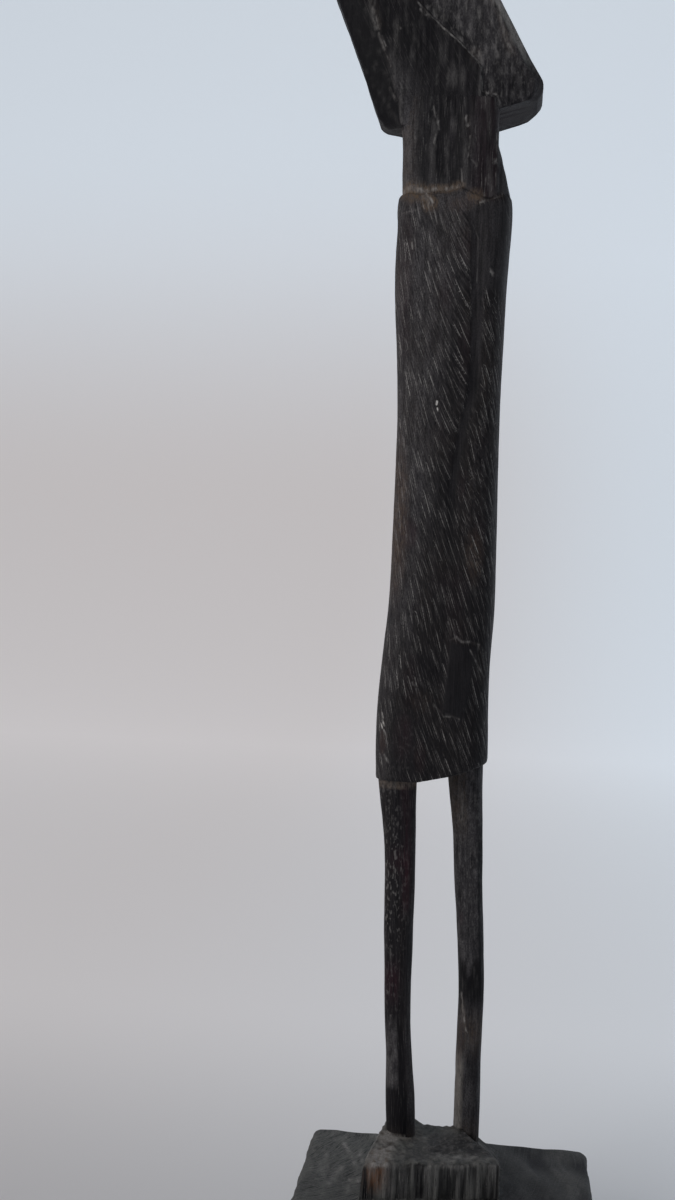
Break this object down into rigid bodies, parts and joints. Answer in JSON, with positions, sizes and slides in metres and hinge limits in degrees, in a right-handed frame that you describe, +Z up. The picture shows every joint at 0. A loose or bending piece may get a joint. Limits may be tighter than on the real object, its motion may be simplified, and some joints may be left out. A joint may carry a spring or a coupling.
{
  "type": "carved wooden figure",
  "caption": "Slim standing figure in a long hatched robe, head tilted back, carved in dark wood together with the rough block it stands on.",
  "frame": {"origin": "on the flat underside of the block, below the figure's trunk", "axes": "+X is the way the figure faces, -Y its right side, which the picture shows, and +Z is up"},
  "size_m": [0.1099, 0.06, 0.4779],
  "materials": {
    "dark_wood": "matte"
  },
  "bodies": {
    "root": {"carved_figure": "dark_wood"}
  },
  "joints": []
}
